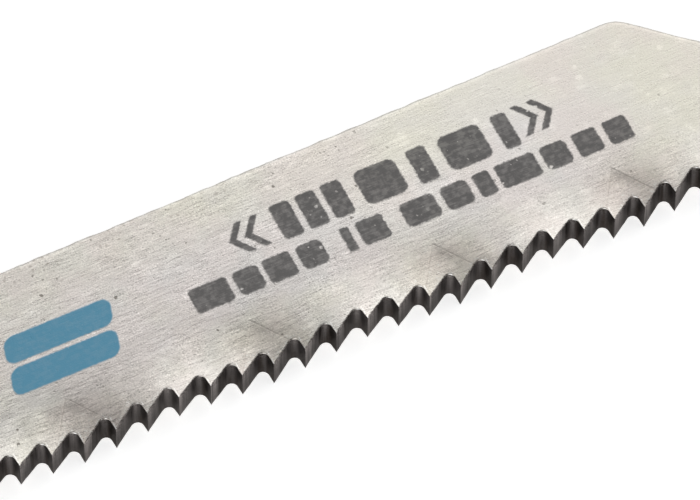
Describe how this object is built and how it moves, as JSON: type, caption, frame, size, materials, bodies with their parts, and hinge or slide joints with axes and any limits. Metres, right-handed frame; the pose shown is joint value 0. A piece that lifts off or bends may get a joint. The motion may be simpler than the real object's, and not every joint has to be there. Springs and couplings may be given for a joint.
{
  "type": "jigsaw blade",
  "caption": "Slim flat steel jigsaw blade for metal, with fine milled teeth, a wavy set, a slanted tip and a T-shank.",
  "frame": {"origin": "middle of the blade's length and of the lugs' span, on the surface that it lies on", "axes": "+X from the shank to the nose, +Y from the teeth to the back, +Z out of the printed face"},
  "size_m": [0.092, 0.011, 0.0017],
  "materials": {
    "steel": "satin, brushed along its length, dark in the gullets"
  },
  "bodies": {
    "root": {"blade": "steel"}
  },
  "joints": []
}
